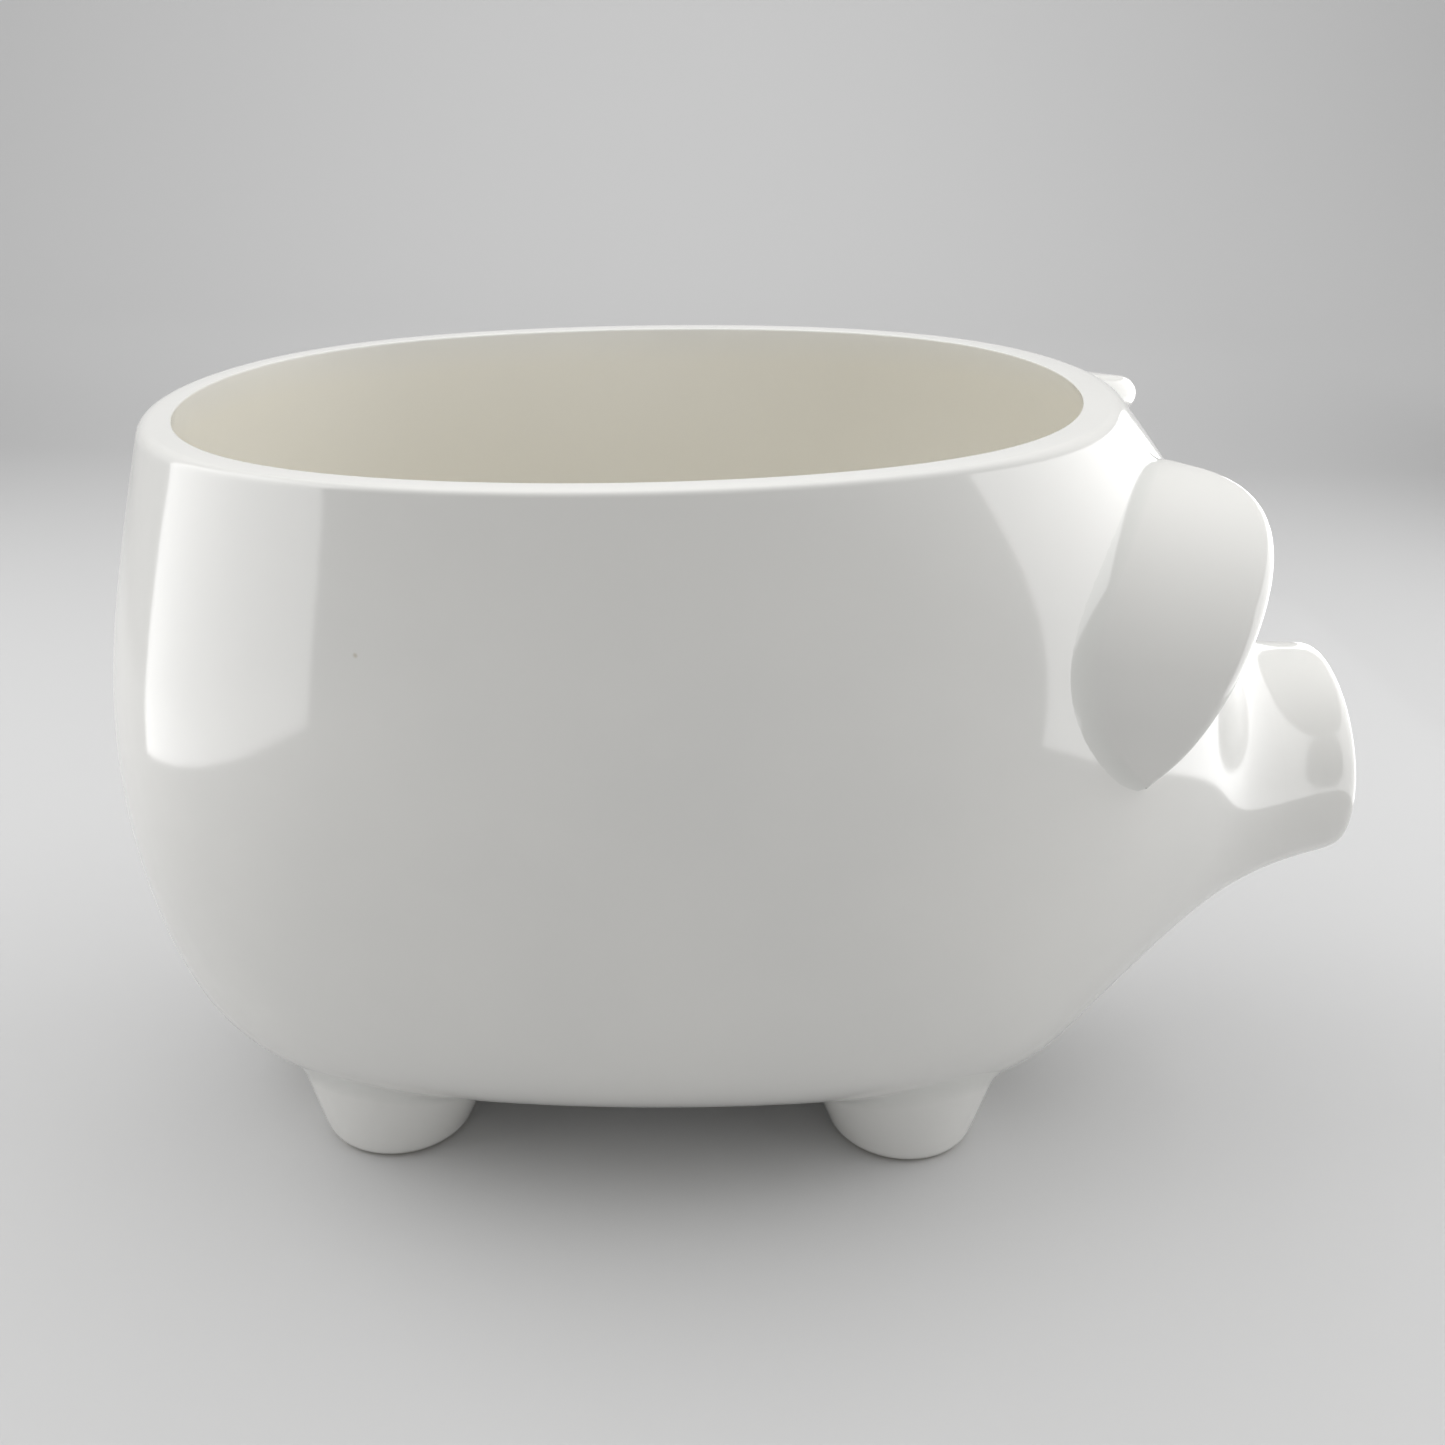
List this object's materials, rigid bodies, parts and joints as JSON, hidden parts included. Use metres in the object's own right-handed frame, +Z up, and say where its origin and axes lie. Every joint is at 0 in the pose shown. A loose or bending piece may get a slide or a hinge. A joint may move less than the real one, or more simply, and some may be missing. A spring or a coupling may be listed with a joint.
{
  "type": "pig-shaped ceramic planter",
  "caption": "Open-topped glazed ceramic pig planter: a thin-walled oval pot drawn out into a hollow snout, with cupped ears, stub feet and a small curled tail.",
  "frame": {"origin": "on the ground under the middle of the object's length and width, in the plane of the four soles", "axes": "+X towards the snout, +Y towards the pig's left side, +Z up through the open top"},
  "size_m": [0.2264, 0.134, 0.1382],
  "materials": {
    "body_glaze": "glossy white glaze over pale clay, warmer cream inside the pot",
    "ear_glaze": "glossy white glaze with a few pinholes, thinner along the rounded edge",
    "foot_glaze": "glossy white glaze, wiped thin and duller on the flat sole"
  },
  "bodies": {
    "root": {"body_shell": "body_glaze", "snout": "body_glaze", "ear_right": "ear_glaze", "ear_left": "ear_glaze", "foot_front_right": "foot_glaze", "foot_front_left": "foot_glaze", "foot_rear_right": "foot_glaze", "foot_rear_left": "foot_glaze", "tail": "body_glaze"}
  },
  "joints": []
}
